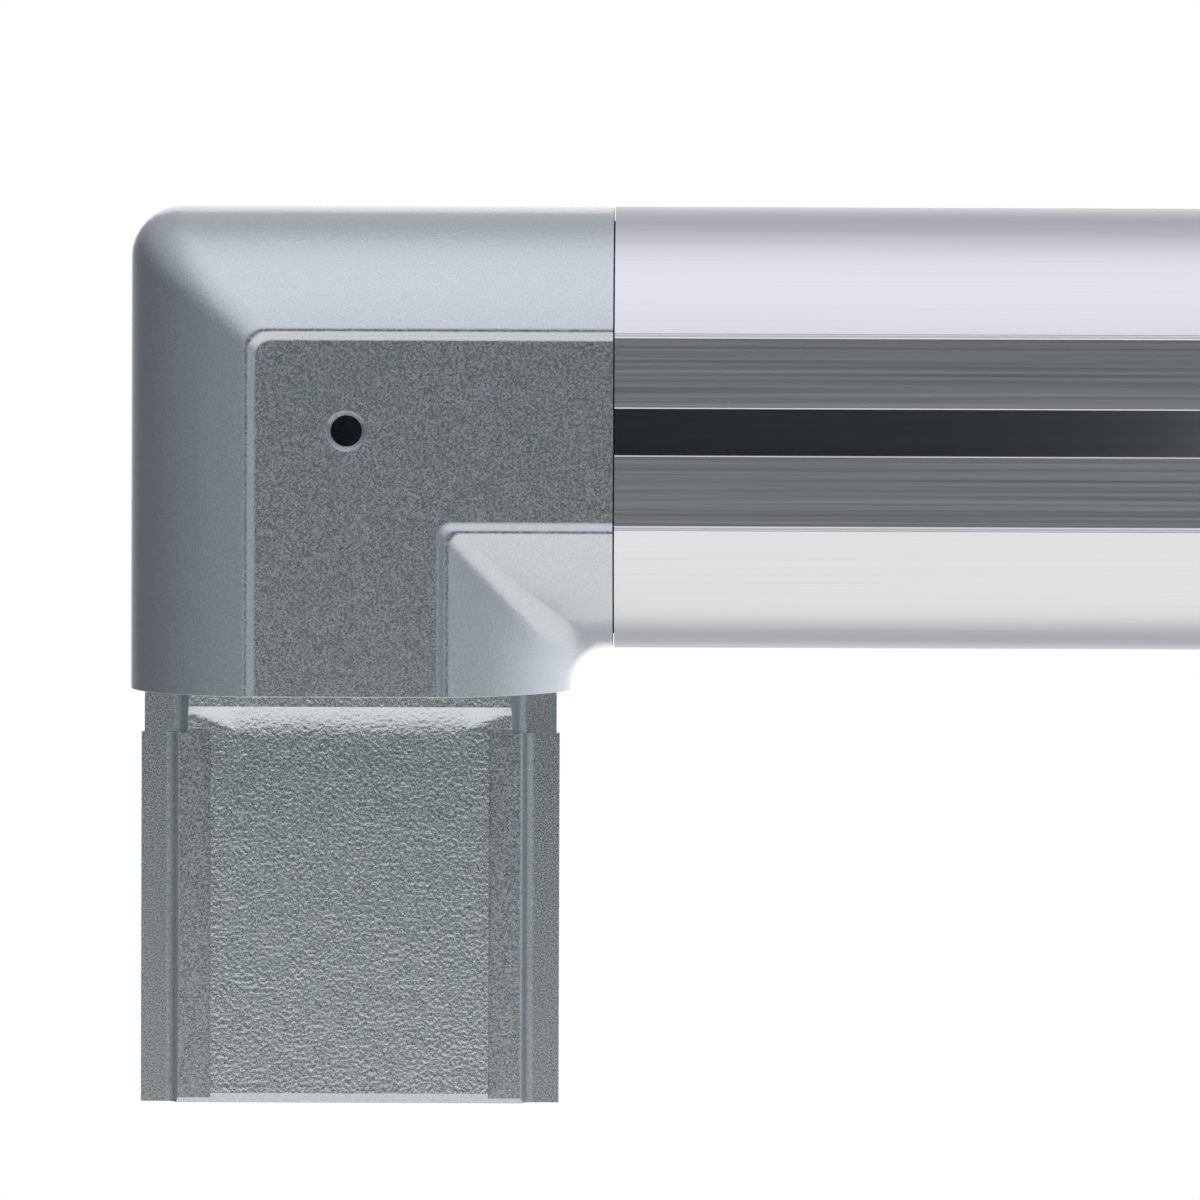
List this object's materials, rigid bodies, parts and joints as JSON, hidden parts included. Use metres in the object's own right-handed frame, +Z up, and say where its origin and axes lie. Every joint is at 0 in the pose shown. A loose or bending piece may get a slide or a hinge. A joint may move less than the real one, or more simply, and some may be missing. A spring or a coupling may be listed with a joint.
{
  "type": "goal corner connector",
  "caption": "Cast corner of oval section for a ball goal's frame, with a bare plug-in spigot for the upright and a sawn length of slotted crossbar profile fitted on the other.",
  "frame": {"origin": "centre of the shoulder that the upright's end meets, on the upright's axis", "axes": "+X along the crossbar away from the corner, +Z up, and -Y the net side with the recess"},
  "size_m": [0.2598, 0.114, 0.2035],
  "materials": {
    "coated_casting": "silver-grey powder coat with a fine orange-peel texture",
    "extruded_profile": "clear anodised extrusion with fine lengthwise lines"
  },
  "bodies": {
    "root": {"corner_casting": "coated_casting", "crossbar_profile": "extruded_profile"}
  },
  "joints": []
}
